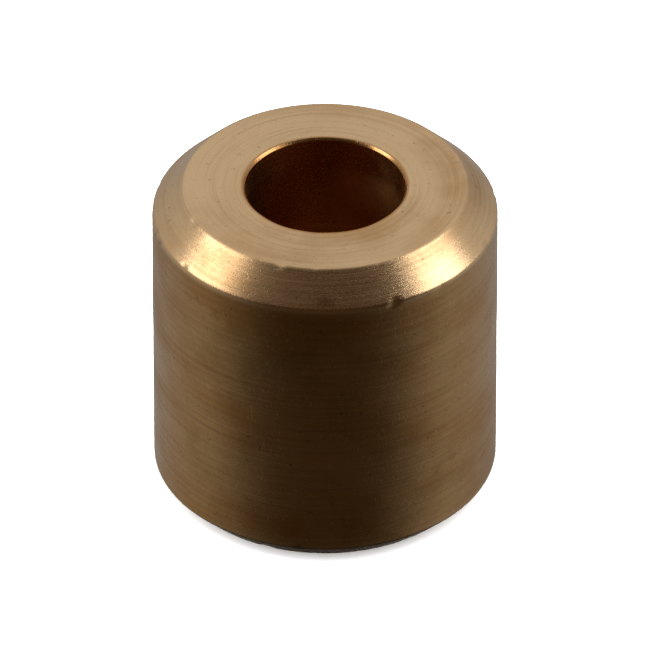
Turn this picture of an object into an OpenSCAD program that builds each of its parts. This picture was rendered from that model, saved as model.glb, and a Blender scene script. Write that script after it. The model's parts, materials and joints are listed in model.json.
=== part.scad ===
// Plain sleeve bushing, turned from one length of bronze bar.
// The sleeve stands on its bottom face, with its axis on +Z and the
// origin at the centre of that face.

/* [Sleeve] */
// Outside diameter, which is pressed into a housing
outer_d = 5; // [4.5:0.1:10]
// Length between the two end faces
length = 5; // [3:0.1:12]
// Bore diameter, which runs on a shaft
bore_d = 2.3; // [1:0.1:3]

/* [Edges] */
// Lead-in chamfer around the top end, at 45 degrees
top_chamfer = 0.45; // [0.1:0.05:0.6]
// Chamfer around the bottom end, at 45 degrees
bottom_chamfer = 0.3; // [0.1:0.05:0.6]
// Edge break at each mouth of the bore, at 45 degrees
bore_break = 0.04; // [0.02:0.01:0.1]

/* [Finish] */
// Colour of the turned bronze
bronze_colour = "#8f7347"; // ["#8f7347":aged, "#b08d57":bright, "#6b5636":dark]

/* [Hidden] */

outer_r = outer_d / 2;
bore_r = bore_d / 2;
// How far a cutting tool runs past the face that it cuts
overrun = 0.5;
// Facets around the preview of each round face
round_fn = 96;

// Half of the sleeve's outline, from the axis out, before it is bored
module half_outline() {
  polygon([
    [0, 0],
    [outer_r - bottom_chamfer, 0],
    [outer_r, bottom_chamfer],
    [outer_r, length - top_chamfer],
    [outer_r - top_chamfer, length],
    [0, length]
  ]);
}

// The turned blank: a solid cylinder with both outer edges chamfered
module blank() {
  rotate_extrude($fn = round_fn) half_outline();
}

// The drill that cuts the bore right through the blank
module bore_drill() {
  translate([0, 0, -overrun])
    cylinder(h = length + 2 * overrun, r = bore_r, $fn = round_fn);
}

// A 45 degree countersink that breaks the bore's edge at z = 0
module edge_breaker() {
  translate([0, 0, -overrun])
    cylinder(
      h = overrun + bore_break,
      r1 = bore_r + overrun + bore_break,
      r2 = bore_r,
      $fn = round_fn
    );
}

// The whole bushing: one turned, bored and edge-broken piece
module bushing() {
  color(bronze_colour)
    difference() {
      blank();
      bore_drill();
      edge_breaker();
      translate([0, 0, length]) mirror([0, 0, 1]) edge_breaker();
    }
}

bushing();
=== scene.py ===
"""The bronze sleeve bushing's looks: one turned and bored sleeve, its aged bronze, and a plain studio.

The sleeve is worked out as a grid of points. Its rows run round the closed outline of the wall,
across the bottom face, up the outside, across the top face and down the bore. Its columns run
round the axis. Every point is then moved along its normal by the marks that making and handling
leave: feed grooves, a slow waviness, stray rings, small knocks and a ragged bore mouth.
Sizes inside the sleeve's functions are millimetres, and the mesh is scaled to metres at the end.
"""
import json
import math

import bpy
import numpy as np
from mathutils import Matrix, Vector


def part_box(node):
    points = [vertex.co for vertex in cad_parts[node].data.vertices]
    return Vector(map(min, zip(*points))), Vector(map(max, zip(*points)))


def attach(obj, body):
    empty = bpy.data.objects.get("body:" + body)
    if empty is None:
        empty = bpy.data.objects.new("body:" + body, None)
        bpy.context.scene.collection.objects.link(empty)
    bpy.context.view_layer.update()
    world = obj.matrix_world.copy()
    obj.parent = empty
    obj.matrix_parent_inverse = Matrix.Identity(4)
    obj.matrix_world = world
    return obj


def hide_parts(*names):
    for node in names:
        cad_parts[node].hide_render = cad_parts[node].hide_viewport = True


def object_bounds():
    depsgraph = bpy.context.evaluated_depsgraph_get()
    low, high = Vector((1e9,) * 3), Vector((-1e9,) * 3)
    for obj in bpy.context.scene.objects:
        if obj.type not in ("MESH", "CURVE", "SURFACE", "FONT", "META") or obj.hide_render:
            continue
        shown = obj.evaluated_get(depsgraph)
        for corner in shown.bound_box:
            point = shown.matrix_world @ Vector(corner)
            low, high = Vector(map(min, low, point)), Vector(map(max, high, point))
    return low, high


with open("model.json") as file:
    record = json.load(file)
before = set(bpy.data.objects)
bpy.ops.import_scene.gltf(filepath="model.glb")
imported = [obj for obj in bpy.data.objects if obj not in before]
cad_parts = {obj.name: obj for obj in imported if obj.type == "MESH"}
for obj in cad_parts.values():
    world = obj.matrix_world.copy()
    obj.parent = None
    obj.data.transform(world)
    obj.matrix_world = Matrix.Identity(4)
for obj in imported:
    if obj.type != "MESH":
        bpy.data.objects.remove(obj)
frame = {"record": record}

MM = 0.001
SEED = 20

CAD_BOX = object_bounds()
LOW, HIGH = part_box("bushing")
MOUNTS = {mount["name"]: mount for mount in frame["record"]["mounts"]}

# The sleeve's driving sizes, in millimetres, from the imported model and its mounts
LENGTH = (HIGH.z - LOW.z) / MM
OUTER_R = MOUNTS["outside"]["dims"]["r_mm"]
BORE_R = MOUNTS["bore"]["dims"]["r_mm"]
STRAIGHT = MOUNTS["outside"]["dims"]["length_mm"]
STRAIGHT_MID = MOUNTS["outside"]["pos_m"][2] / MM
BOTTOM_CHAMFER = STRAIGHT_MID - STRAIGHT / 2
TOP_CHAMFER = LENGTH - STRAIGHT_MID - STRAIGHT / 2
MOUTH = (LENGTH - MOUNTS["bore"]["dims"]["length_mm"]) / 2

# The grid's columns round the axis, and its rows round each corner of the outline
COLUMNS = 288
ARC_ROWS = 4

# Every stretch of the wall's outline, in order. Its start is where it begins, as (radius, height),
# and its edge is the radius that rounds the corner at its start. Its rows are how many steps of
# the grid it takes, its feed is how far apart its tool marks are, and its cut is how deep they are.
STRETCHES = [
    {
        "name": "bottom_face", "start": (BORE_R + MOUTH, 0),
        "edge": 0.02, "rows": 26, "feed": 0.105, "cut": 0.0012,
    },
    {
        "name": "bottom_chamfer", "start": (OUTER_R - BOTTOM_CHAMFER, 0),
        "edge": 0.05, "rows": 10, "feed": 0.1, "cut": 0.001,
    },
    {
        "name": "outside", "start": (OUTER_R, BOTTOM_CHAMFER),
        "edge": 0.07, "rows": 176, "feed": 0.135, "cut": 0.0024,
    },
    {
        "name": "top_chamfer", "start": (OUTER_R, LENGTH - TOP_CHAMFER),
        "edge": 0.09, "rows": 16, "feed": 0.1, "cut": 0.001,
    },
    {
        "name": "top_face", "start": (OUTER_R - TOP_CHAMFER, LENGTH),
        "edge": 0.09, "rows": 30, "feed": 0.105, "cut": 0.0012,
    },
    {
        "name": "top_mouth", "start": (BORE_R + MOUTH, LENGTH),
        "edge": 0.02, "rows": 3, "feed": 1, "cut": 0,
    },
    {
        "name": "bore", "start": (BORE_R, LENGTH - MOUTH),
        "edge": 0.02, "rows": 42, "feed": 0.47, "cut": 0.003,
    },
    {
        "name": "bottom_mouth", "start": (BORE_R, MOUTH),
        "edge": 0.02, "rows": 3, "feed": 1, "cut": 0,
    },
]


# ---------------------------------------------------------------- the sleeve's outline


def corner_arc(before, corner, after, radius):
    """The points and outward normals of the arc that rounds one corner of the outline."""
    into = (corner - before) / np.linalg.norm(corner - before)
    out = (after - corner) / np.linalg.norm(after - corner)
    turn = math.acos(np.clip(into @ out, -1, 1))
    first = corner - into * radius * math.tan(turn / 2)
    side = math.copysign(1, into[0] * out[1] - into[1] * out[0])
    inward = np.array([-into[1], into[0]]) * side
    centre = first + inward * radius
    points, normals = [], []
    for step in range(ARC_ROWS + 1):
        angle = side * turn * step / ARC_ROWS
        spun = np.array(
            [
                -inward[0] * math.cos(angle) + inward[1] * math.sin(angle),
                -inward[0] * math.sin(angle) - inward[1] * math.cos(angle),
            ]
        )
        points.append(centre + spun * radius)
        normals.append(spun * side)
    return points, normals


def outline():
    """The closed outline, row by row: its points, outward normals, stretch numbers and lengths."""
    corners = [np.array(s["start"], float) for s in STRETCHES]
    count = len(corners)
    arcs = [
        corner_arc(corners[i - 1], corners[i], corners[(i + 1) % count], STRETCHES[i]["edge"])
        for i in range(count)
    ]
    points, normals, stretch = [], [], []
    for i, (arc_points, arc_normals) in enumerate(arcs):
        points += arc_points
        normals += arc_normals
        stretch += [i] * len(arc_points)
        start, end = arc_points[-1], arcs[(i + 1) % count][0][0]
        for row in range(1, STRETCHES[i]["rows"]):
            points.append(start + (end - start) * row / STRETCHES[i]["rows"])
            normals.append(arc_normals[-1])
            stretch.append(i)
    points, normals = np.array(points), np.array(normals)
    steps = np.linalg.norm(np.diff(points, axis=0), axis=1)
    along = np.concatenate([[0], np.cumsum(steps)])
    return points, normals, np.array(stretch), along


# ---------------------------------------------------------------- marks on its surface


# The corners of the outline that can be knocked and worn: all those outside the bore's mouths
OUTER_EDGES = [s["start"] for s in STRETCHES if s["start"][0] > BORE_R + MOUTH]
# How much the feed grooves differ in depth along the way, as a share of their depth
GROOVE_UNEVENNESS = 0.4
# The mean depth of a slow waviness
WAVE_DEPTH = 0.004
# Rings where the tool dug in
STRAY_RINGS = {"count": 9, "depth": 0.005, "width": 0.025}
# Knocks by where they fall, each with its least and greatest size and depth
KNOCKS = {
    "edges": {"count": 34, "size": (0.05, 0.17), "depth": (0.006, 0.022)},
    "outside": {"count": 16, "size": (0.05, 0.16), "depth": (0.004, 0.012)},
    "ends": {"count": 30, "size": (0.03, 0.1), "depth": (0.003, 0.009)},
}
# The rim that a knock raises: where it is and how wide, as shares of the knock's size, and how
# high, as a share of the knock's depth
RIM_AT, RIM_WIDTH, RIM_HEIGHT = 1.15, 0.2, 0.12
# How far an outer edge's wear reaches, and how far from the edge its knocks are centred at most
EDGE_REACH = 0.05
# The ragged lip that the drill turned up at the top mouth
LIP_HEIGHT, LIP_REACH = 0.007, 0.05


def smooth(x):
    return x * x * (3 - 2 * x)


def field(rng, along, theta, cell, around):
    """A smooth random field from -1 to 1 that closes on itself round the axis.
    A cell is its grain along the outline, and around is how many cells there are in a turn."""
    rows = int(along.max() / cell) + 2
    grid = rng.uniform(-1, 1, (rows, around))
    u, v = along / cell, theta / (2 * math.pi) * around
    i, j = np.floor(u).astype(int), np.floor(v).astype(int)
    fu, fv = smooth(u - i), smooth(v - j)
    j, k = j % around, (j + 1) % around
    low = grid[i, j] * (1 - fv) + grid[i, k] * fv
    high = grid[i + 1, j] * (1 - fv) + grid[i + 1, k] * fv
    return low * (1 - fu) + high * fu


def layered(rng, along, theta, cell, around, layers=3):
    """Several fields, each twice as fine and half as strong as the one before. Their sum is
    brought back to about -1 to 1."""
    total = 0
    for layer in range(layers):
        scale = 2**layer
        total = total + field(rng, along, theta, cell / scale, around * scale) / scale
    return total / 1.6


def grooves(along, theta, pitch):
    """The groove that a tool leaves as it feeds along a turning bar: 0 on a ridge, 1 in a valley."""
    return np.abs(np.sin(math.pi * along / pitch - theta / 2))


def stray_rings(rng, along, theta):
    """How deep the stray rings are cut. Each fades out over part of its turn."""
    deep = np.zeros_like(theta)
    for _ in range(STRAY_RINGS["count"]):
        at = rng.uniform(along.min(), along.max())
        arc = np.clip(np.cos(theta - rng.uniform(0, 2 * math.pi)) + rng.uniform(0, 1.2), 0, 1)
        deep += arc * np.exp(-(((along - at) / STRAY_RINGS["width"]) ** 2))
    return deep * STRAY_RINGS["depth"]


def knocks(rng, where, points, count, size, depth):
    """Small knocks, each a shallow hollow with a faint rim, centred on points where the mask is."""
    rows, columns = np.nonzero(where)
    moved = np.zeros(where.shape)
    for pick in rng.integers(0, len(rows), count):
        centre = points[rows[pick], columns[pick]]
        near = np.linalg.norm(points - centre, axis=2) / rng.uniform(*size)
        hollow = np.clip(1 - near**2, 0, None) ** 2
        rim = np.exp(-(((near - RIM_AT) / RIM_WIDTH) ** 2)) * RIM_HEIGHT
        moved += (rim - hollow) * rng.uniform(*depth)
    return moved


def distance_from(profile, places):
    """Every row's distance from the nearest of some places on the outline, as a column."""
    distances = [np.hypot(profile[:, 0] - r, profile[:, 1] - z) for r, z in places]
    return np.min(distances, axis=0)[:, None]


def sleeve_grid():
    """The sleeve's points, where each lies on the turned bar, and the shares that it is painted by.
    A place on the bar is the length along the outline, and the cosine and sine of the turn."""
    rng = np.random.default_rng(SEED)
    profile, normal, stretch, along_row = outline()
    turn = np.linspace(0, 2 * math.pi, COLUMNS, endpoint=False)
    along, theta = np.meshgrid(along_row, turn, indexing="ij")
    ring = np.stack([np.cos(theta), np.sin(theta)], axis=2)

    def placed(moved):
        r = profile[:, 0:1] + normal[:, 0:1] * moved
        z = profile[:, 1:2] + normal[:, 1:2] * moved
        return np.concatenate([ring * r[:, :, None], z[:, :, None]], axis=2)

    on = {s["name"]: (stretch == i)[:, None] & (theta >= 0) for i, s in enumerate(STRETCHES)}
    ends = on["bottom_face"] | on["bottom_chamfer"] | on["top_chamfer"] | on["top_face"]
    mouths = on["top_mouth"] | on["bottom_mouth"]
    edge_distance = distance_from(profile, OUTER_EDGES)
    on_edges = (edge_distance < EDGE_REACH) & (theta >= 0)

    # the feed grooves, a slow waviness and the stray rings
    groove, cut = np.zeros_like(theta), np.zeros_like(theta)
    for i, s in enumerate(STRETCHES):
        rows = stretch == i
        groove[rows] = grooves(along[rows], theta[rows], s["feed"])
        cut[rows] = s["cut"]
    moved = -groove * cut * (1 + GROOVE_UNEVENNESS * field(rng, along, theta, cell=0.3, around=4))
    moved -= WAVE_DEPTH * (1 + layered(rng, along, theta, cell=0.6, around=7))
    moved -= stray_rings(rng, along, theta)

    # the knocks, of which the edges take the most and the deepest
    smooth_points = placed(np.zeros_like(theta))
    moved += knocks(rng, on_edges, smooth_points, **KNOCKS["edges"])
    moved += knocks(rng, on["outside"], smooth_points, **KNOCKS["outside"])
    moved += knocks(rng, ends, smooth_points, **KNOCKS["ends"])

    # the lip at the top mouth
    lip = np.exp(-((distance_from(profile, [(BORE_R + MOUTH, LENGTH)]) / LIP_REACH) ** 2))
    ragged = np.clip(0.35 + layered(rng, along, theta, cell=0.5, around=17), 0, 1)
    moved += LIP_HEIGHT * ragged * lip

    # wear comes and goes along the edges, and oxide is patchy and a little thicker in the grooves
    patchy = np.clip(0.75 + 0.5 * field(rng, along, theta, cell=0.3, around=23), 0, 1)
    oxide = 0.5 + 0.6 * layered(rng, along, theta, cell=0.9, around=6, layers=4)
    oxide += 0.12 * (groove - 0.6)
    shares = {
        "worn": np.exp(-edge_distance / EDGE_REACH) * patchy,
        "oxidised": np.clip(oxide, 0, 1),
        # inside is where the bore's painted shade goes: fully in the bore and a little on its mouths.
        # It also keeps the grain off the bore
        "inside": on["bore"] + 0.3 * mouths,
        "end": ends.astype(float),
    }
    turned = np.stack([along, np.cos(theta), np.sin(theta)], axis=2)
    return placed(moved), turned, shares


def build_sleeve():
    """One closed mesh: every row joins the next, and the last row joins the first."""
    points, turned, shares = sleeve_grid()
    rows, columns = points.shape[:2]
    number = np.arange(rows * columns).reshape(rows, columns)
    up, right = np.roll(number, -1, axis=0), np.roll(number, -1, axis=1)
    quads = np.stack([number, right, np.roll(up, -1, axis=1), up], axis=2).reshape(-1, 4)
    mesh = bpy.data.meshes.new("sleeve_body")
    mesh.from_pydata((points.reshape(-1, 3) * MM).tolist(), [], quads.tolist())
    mesh.polygons.foreach_set("use_smooth", [True] * len(mesh.polygons))
    layer = mesh.attributes.new("turned", "FLOAT_VECTOR", "POINT")
    layer.data.foreach_set("vector", turned.reshape(-1).astype(np.float32))
    for name, share in shares.items():
        layer = mesh.attributes.new(name, "FLOAT", "POINT")
        layer.data.foreach_set("value", share.reshape(-1).astype(np.float32))
    mesh.validate()
    mesh.update()
    sleeve = bpy.data.objects.new("sleeve_body", mesh)
    bpy.context.scene.collection.objects.link(sleeve)
    return sleeve


# ---------------------------------------------------------------- node helpers


# The levels of a noise at which a scratch starts, and at which it is full
SCRATCH_LEVELS = (0.65, 0.72)


class Nodes:
    """A node tree with short calls: add() makes a node, sets its inputs and links what it is given."""

    def __init__(self, tree):
        self.tree = tree
        tree.nodes.clear()

    def add(self, kind, inputs=None, **settings):
        made = self.tree.nodes.new(kind)
        for name, value in settings.items():
            setattr(made, name, value)
        for name, value in (inputs or {}).items():
            if isinstance(value, bpy.types.NodeSocket):
                self.tree.links.new(value, made.inputs[name])
            else:
                made.inputs[name].default_value = value
        return made

    def maths(self, operation, a, b):
        return self.add("ShaderNodeMath", {0: a, 1: b}, operation=operation).outputs[0]

    def plus(self, a, b):
        return self.maths("ADD", a, b)

    def minus(self, a, b):
        return self.maths("SUBTRACT", a, b)

    def times(self, a, b):
        return self.maths("MULTIPLY", a, b)

    def larger(self, a, b):
        return self.maths("MAXIMUM", a, b)

    def share(self, value, low, high, to_low=0.0, to_high=1.0):
        """Runs smoothly from to_low where the value is low, to to_high where it is high."""
        inputs = {"Value": value, "From Min": low, "From Max": high}
        inputs.update({"To Min": to_low, "To Max": to_high})
        made = self.add("ShaderNodeMapRange", inputs, interpolation_type="SMOOTHSTEP")
        return made.outputs["Result"]

    def mix(self, share, a, b):
        """One value at a share of 0, the other at 1. In a mix node's list of sockets, 0 is the
        share, and 6, 7 and the output 2 are its colours."""
        made = self.add("ShaderNodeMix", {0: share, 6: a, 7: b}, data_type="RGBA")
        return made.outputs[2]

    def attribute(self, name, output="Fac"):
        return self.add("ShaderNodeAttribute", attribute_name=name).outputs[output]

    def scaled(self, vector, scale):
        made = self.add("ShaderNodeVectorMath", {0: vector, 1: scale}, operation="MULTIPLY")
        return made.outputs[0]

    def noise(self, vector, scale=1.0, detail=4.0, roughness=0.55):
        inputs = {"Vector": vector, "Scale": scale, "Detail": detail, "Roughness": roughness}
        return self.add("ShaderNodeTexNoise", inputs).outputs["Fac"]

    def scratches(self, vector, lean, width, reach):
        """Straight scratches that lean from the axis: 1 on a scratch and 0 off it. They are the
        highest parts of a noise that is stretched into needles of the width and reach."""
        turn = {"Vector": vector, "Rotation": lean}
        turned = self.add("ShaderNodeVectorRotate", turn, rotation_type="EULER_XYZ").outputs[0]
        needles = self.scaled(turned, (1 / width, 1 / width, 1 / reach))
        return self.share(self.noise(needles, detail=1), *SCRATCH_LEVELS)


# ---------------------------------------------------------------- bronze


CLEAN_BRONZE = (0.74, 0.50, 0.275, 1)
AGED_BRONZE = (0.47, 0.24, 0.078, 1)
OLIVE_TARNISH = (0.34, 0.205, 0.075, 1)
DARK_OXIDE = (0.13, 0.062, 0.027, 1)
# Painted shade: the bore's bronze is painted darker and redder. This stands in for the shade and the
# bronze-tinted bounce light deep in the bore
BORE_PAINTED_SHADE = (0.53, 0.24, 0.075, 1)
# How much more the turned surface spreads its highlights across the tool marks than along them
BRUSHING = 0.65
# A quarter of a turn, which takes the radial tangent from along the tool marks to across them
BRUSHING_TURN = 0.25
# How far a height of 1 stands out in the finest relief, in millimetres
RELIEF = 0.006


def bronze_marks(n):
    """What shows on the bronze, by name: plain noises, and shares of how strongly a mark shows."""
    millimetres = n.scaled(n.add("ShaderNodeTexCoord").outputs["Object"], (1 / MM,) * 3)
    turned = n.attribute("turned", "Vector")
    marks = {name: n.attribute(name) for name in ("worn", "oxidised", "inside", "end")}

    marks["rings"] = n.noise(n.scaled(turned, (28, 0.7, 0.7)), detail=5, roughness=0.7)
    marks["hairlines"] = n.noise(n.scaled(turned, (130, 2.5, 2.5)), detail=3, roughness=0.6)
    marks["grain"] = n.noise(millimetres, scale=30, detail=3, roughness=0.7)
    blotches = n.noise(millimetres, scale=1.1, detail=6, roughness=0.6)
    film = n.noise(millimetres, scale=0.55, detail=7, roughness=0.62)
    specks = n.noise(millimetres, scale=11, detail=3, roughness=0.7)

    # steep scratches stay off the ends, and level ones are fainter
    steep = n.scratches(millimetres, lean=(0.45, 0.2, 0), width=0.038, reach=3.5)
    level = n.scratches(millimetres, lean=(1.55, 0, 0.7), width=0.034, reach=3)
    steep = n.times(steep, n.minus(1.0, marks["end"]))
    marks["scratched"] = n.larger(steep, n.times(level, 0.6))

    # the side is painted darker and browner than the ends: its patina share runs from 0.6 to 1, theirs
    # from 0 to 0.55
    marks["patina"] = n.plus(n.times(marks["oxidised"], 0.55), n.times(blotches, 0.5))
    side_patina = n.share(marks["patina"], low=0.3, high=0.72, to_low=0.6)
    end_patina = n.share(marks["patina"], low=0.4, high=0.85, to_high=0.55)
    marks["aged"] = n.mix(marks["end"], side_patina, end_patina)
    marks["tarnished"] = n.times(n.share(film, low=0.45, high=0.68, to_high=0.5), marks["aged"])
    marks["streaked"] = n.share(marks["rings"], low=0.45, high=0.75, to_high=0.24)
    marks["specked"] = n.share(specks, low=0.62, high=0.74, to_high=0.6)
    return marks


def bronze_colour(n, marks):
    """Each layer is painted over the ones before it."""
    colour = n.mix(marks["aged"], CLEAN_BRONZE, AGED_BRONZE)
    colour = n.mix(marks["tarnished"], colour, OLIVE_TARNISH)
    colour = n.mix(marks["streaked"], colour, DARK_OXIDE)
    colour = n.mix(marks["specked"], colour, DARK_OXIDE)
    colour = n.mix(n.times(marks["worn"], 0.85), colour, CLEAN_BRONZE)
    colour = n.mix(n.times(marks["scratched"], 0.3), colour, CLEAN_BRONZE)
    # painted shade: the bore, and a little of its mouths, take the darker, redder bore colour in place
    # of the shade inside it
    return n.mix(marks["inside"], colour, BORE_PAINTED_SHADE)


def bronze_roughness(n, marks):
    """Duller where it has aged, and smoother where it has worn."""
    rough = n.share(marks["patina"], low=0.3, high=0.8, to_low=0.22, to_high=0.34)
    rough = n.plus(rough, n.times(marks["streaked"], 0.2))
    rough = n.plus(rough, n.share(marks["grain"], low=0.35, high=0.7, to_low=-0.02, to_high=0.05))
    rough = n.plus(rough, n.times(marks["tarnished"], 0.1))
    return n.minus(rough, n.times(marks["worn"], 0.08))


def bronze_normal(n, marks):
    """The finest relief: rings, hairlines and grain, with specks and scratches sunk into them.
    The grain is faint on the ends, and the bore has none."""
    height = n.plus(n.times(marks["rings"], 0.7), n.times(marks["hairlines"], 0.4))
    smoother = n.larger(marks["inside"], n.times(marks["end"], 0.7))
    side_grain = n.times(marks["grain"], n.minus(1.0, smoother))
    height = n.plus(height, n.times(side_grain, 0.045))
    height = n.minus(height, n.times(marks["specked"], 0.25))
    height = n.minus(height, n.times(marks["scratched"], 0.2))
    inputs = {"Height": height, "Strength": 0.6, "Distance": RELIEF * MM}
    return n.add("ShaderNodeBump", inputs).outputs["Normal"]


def bronze():
    material = bpy.data.materials.new("aged_turned_bronze")
    material.use_nodes = True
    n = Nodes(material.node_tree)
    marks = bronze_marks(n)
    tangent = n.add("ShaderNodeTangent", direction_type="RADIAL", axis="Z")
    shader = n.add(
        "ShaderNodeBsdfPrincipled",
        {
            "Base Color": bronze_colour(n, marks),
            "Metallic": 1.0,
            "Roughness": bronze_roughness(n, marks),
            "Anisotropic": BRUSHING,
            "Anisotropic Rotation": BRUSHING_TURN,
            "Normal": bronze_normal(n, marks),
            "Tangent": tangent.outputs["Tangent"],
        },
    )
    n.add("ShaderNodeOutputMaterial", {"Surface": shader.outputs["BSDF"]})
    return material


# ---------------------------------------------------------------- studio


# Half of the floor's width, in metres
FLOOR_REACH = 0.6
FLOOR_COLOUR = (0.86, 0.86, 0.855, 1)
# How far the photograph's camera looks down, in degrees
VIEW_ELEVATION = 36
# A long lens and its sensor's width, in millimetres, because the photograph has no perspective
LENS = 800
SENSOR = 36
# The object's share of the picture's height
FILL = 0.74


def floor():
    mesh = bpy.data.meshes.new("floor")
    corners = [(-1, -1), (1, -1), (1, 1), (-1, 1)]
    spread = [(x * FLOOR_REACH, y * FLOOR_REACH, LOW.z) for x, y in corners]
    mesh.from_pydata(spread, [], [(0, 1, 2, 3)])
    made = bpy.data.objects.new("floor", mesh)
    bpy.context.scene.collection.objects.link(made)
    material = bpy.data.materials.new("pale_paper")
    material.use_nodes = True
    n = Nodes(material.node_tree)
    shader = n.add("ShaderNodeBsdfDiffuse", {"Color": FLOOR_COLOUR})
    n.add("ShaderNodeOutputMaterial", {"Surface": shader.outputs["BSDF"]})
    mesh.materials.append(material)
    made.visible_glossy = False


def direction(azimuth, elevation):
    """A unit vector towards a place in the studio. Azimuth 0 is the camera's side, 90 is its right."""
    a, e = math.radians(azimuth), math.radians(elevation)
    return Vector((math.sin(a) * math.cos(e), -math.cos(a) * math.cos(e), math.sin(e)))


def softbox(name, azimuth, elevation, width, strength):
    """A round soft light at a distance, as wide as it looks from the object, in degrees."""
    light = bpy.data.lights.new(name, "SUN")
    light.angle = math.radians(width)
    light.energy = strength
    made = bpy.data.objects.new(name, light)
    made.rotation_mode = "QUATERNION"
    made.rotation_quaternion = direction(azimuth, elevation).to_track_quat("Z", "Y")
    bpy.context.scene.collection.objects.link(made)


# What the metal mirrors, in linear colour: a dark warm room at the camera, pale walls behind, and
# a dark place straight below. The room and the walls have a part above and a part below the horizon.
ROOM_ABOVE = (0.045, 0.023, 0.009, 1)
ROOM_BELOW = (0.052, 0.036, 0.022, 1)
WALL_ABOVE = (0.66, 0.66, 0.66, 1)
WALL_BELOW = (0.36, 0.36, 0.355, 1)
UNDERSIDE = (0.02, 0.018, 0.015, 1)
# What lights the floor, and shows past it
WHITE_ROOM = (3.2, 3.2, 3.2, 1)


def studio_world():
    """A white room for the floor, and for the metal a room that is dark at the camera."""
    world = bpy.data.worlds.new("studio")
    bpy.context.scene.world = world
    world.use_nodes = True
    n = Nodes(world.node_tree)
    # where a ray looks: y is -1 at the camera's side and 1 behind, and z is -1 below and 1 above
    towards = n.add("ShaderNodeTexCoord").outputs["Generated"]
    _, y, z = n.add("ShaderNodeSeparateXYZ", {0: towards}).outputs
    above = n.mix(n.share(y, -0.58, 0.3), ROOM_ABOVE, WALL_ABOVE)
    below = n.mix(n.share(y, -0.78, -0.02), ROOM_BELOW, WALL_BELOW)
    seen = n.mix(n.share(z, -0.35, 0.6), below, above)
    seen = n.mix(n.share(z, -0.85, -0.62), UNDERSIDE, seen)
    path = n.add("ShaderNodeLightPath")
    plain = n.larger(path.outputs["Is Camera Ray"], path.outputs["Is Diffuse Ray"])
    colour = n.mix(plain, seen, WHITE_ROOM)
    background = n.add("ShaderNodeBackground", {"Color": colour})
    n.add("ShaderNodeOutputWorld", {"Surface": background.outputs[0]})


def camera():
    low, high = CAD_BOX
    middle = (low + high) / 2
    size = high - low
    e = math.radians(VIEW_ELEVATION)
    tall = size.z * math.cos(e) + size.y * math.sin(e)
    distance = tall / FILL * LENS / SENSOR
    data = bpy.data.cameras.new("camera")
    data.lens, data.sensor_width = LENS, SENSOR
    data.clip_start, data.clip_end = distance / 100, distance * 10
    made = bpy.data.objects.new("camera", data)
    made.location = middle + direction(0, VIEW_ELEVATION) * distance
    made.rotation_mode = "QUATERNION"
    made.rotation_quaternion = direction(0, VIEW_ELEVATION).to_track_quat("Z", "Y")
    bpy.context.scene.collection.objects.link(made)
    bpy.context.scene.camera = made


sleeve = build_sleeve()
sleeve.data.materials.append(bronze())
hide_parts("bushing")
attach(sleeve, "root")

floor()
softbox("left_softbox", azimuth=-88, elevation=34, width=32, strength=0.84)
softbox("right_softbox", azimuth=88, elevation=34, width=32, strength=0.72)
studio_world()
camera()
bpy.context.scene.view_settings.view_transform = "Standard"
